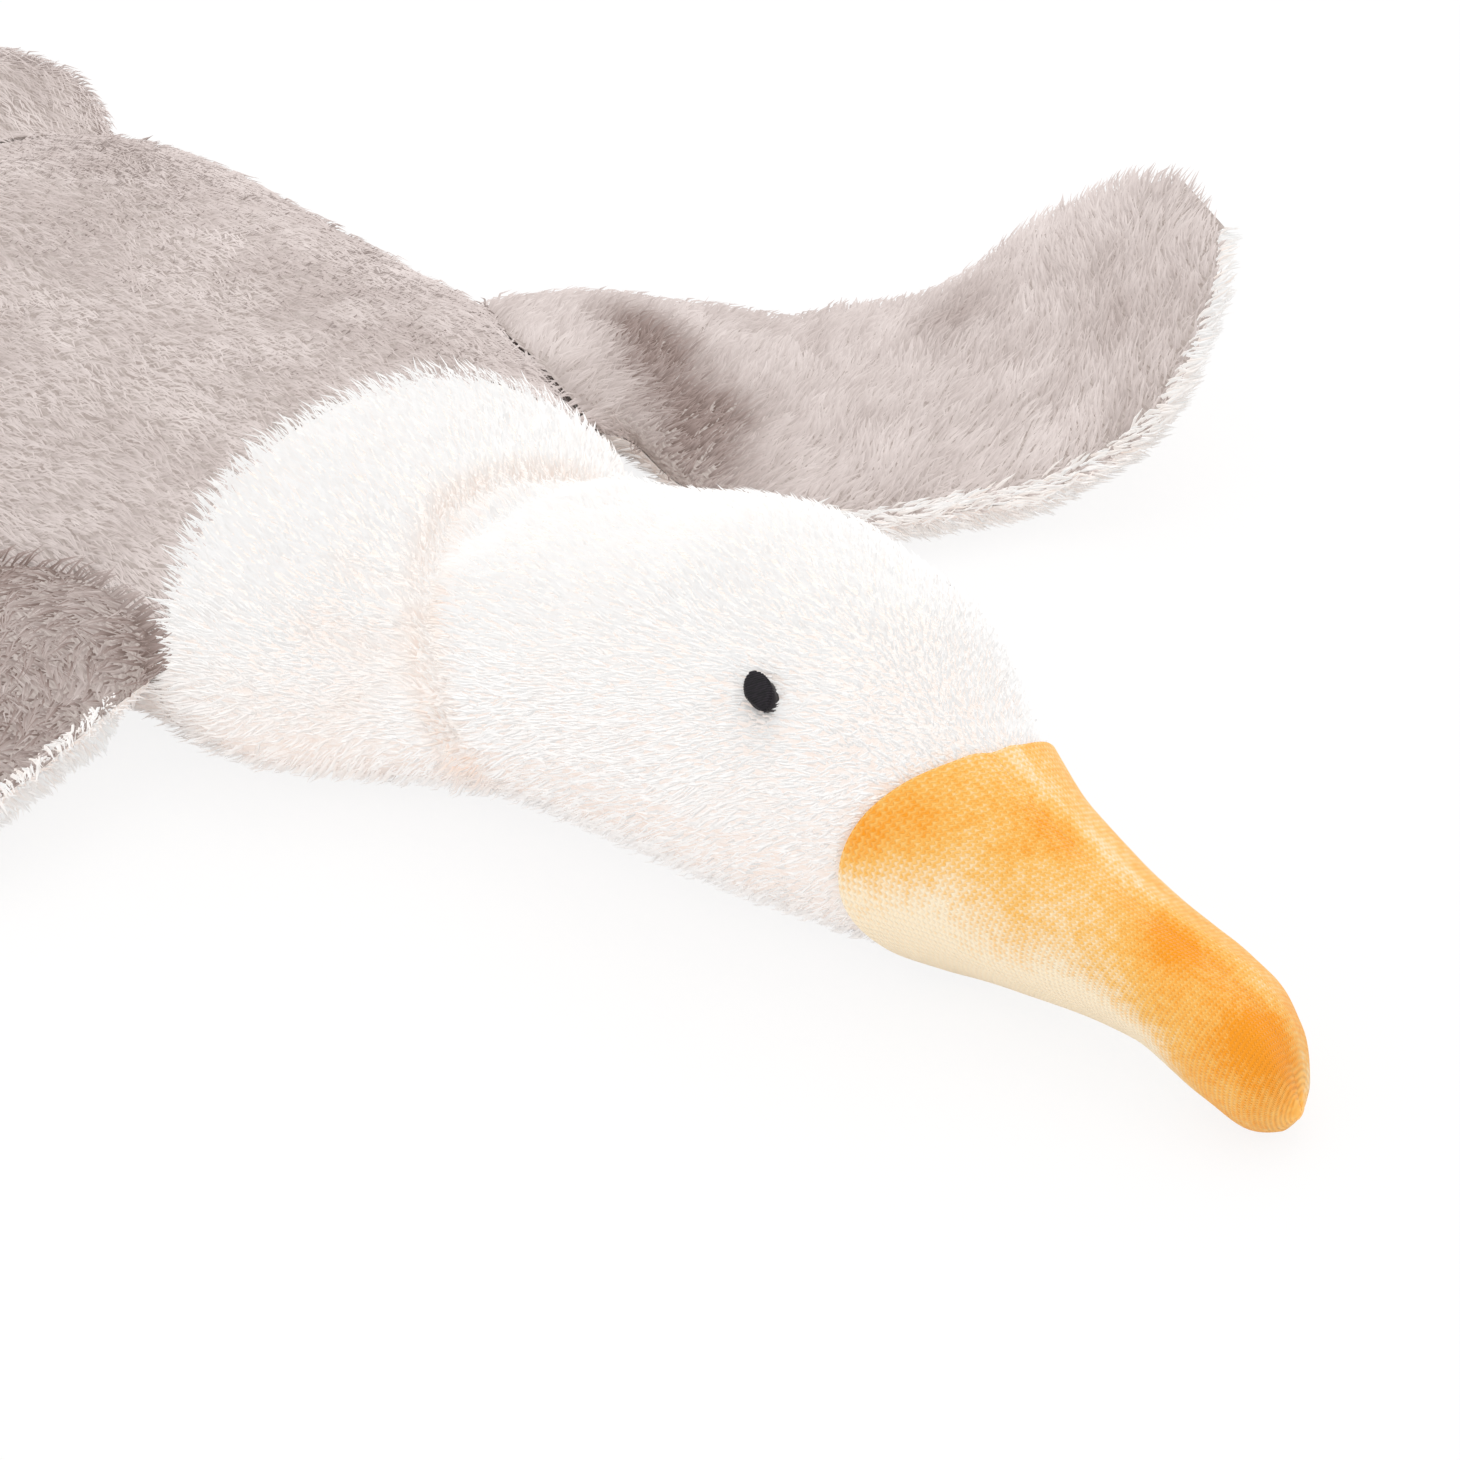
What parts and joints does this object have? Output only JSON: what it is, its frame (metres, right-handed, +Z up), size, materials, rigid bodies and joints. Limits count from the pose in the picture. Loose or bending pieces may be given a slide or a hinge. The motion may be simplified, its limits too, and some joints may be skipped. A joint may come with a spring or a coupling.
{
  "type": "plush seagull heat pillow",
  "caption": "Soft plush gull lying on its belly with spread wings, an orange beak and a belly pocket that holds a warming pack.",
  "frame": {"origin": "on the flat underside of the belly, in the body's middle plane", "axes": "+X towards the beak, +Y towards the bird's left wing, +Z up from the surface it lies on"},
  "size_m": [0.474, 0.4036, 0.072],
  "materials": {
    "grey_plush": "taupe-grey long-pile plush",
    "white_plush": "warm white long-pile plush",
    "orange_velour": "short-pile ribbed velour",
    "black_thread": "satin-stitch embroidery",
    "wool": "loose wool stuffing",
    "cotton": "plain cotton",
    "tape": "hook and loop tape"
  },
  "bodies": {
    "root": {"back_panel": "grey_plush", "tail_upper_panel": "grey_plush", "left_wing_upper_panel": "grey_plush", "right_wing_upper_panel": "grey_plush", "belly_front_panel": "white_plush", "belly_rear_panel": "white_plush", "tail_lower_panel": "white_plush", "left_wing_lower_panel": "white_plush", "right_wing_lower_panel": "white_plush", "head_upper_panel": "white_plush", "head_lower_panel": "white_plush", "beak_left_panel": "orange_velour", "beak_right_panel": "orange_velour", "left_eye": "black_thread", "right_eye": "black_thread", "body_stuffing": "wool", "head_stuffing": "wool", "beak_stuffing": "wool", "tail_stuffing": "wool", "left_wing_stuffing": "wool", "right_wing_stuffing": "wool", "heat_pack": "cotton", "pocket_lining": "cotton", "hook_tape": "tape", "loop_tape": "tape"}
  },
  "joints": []
}
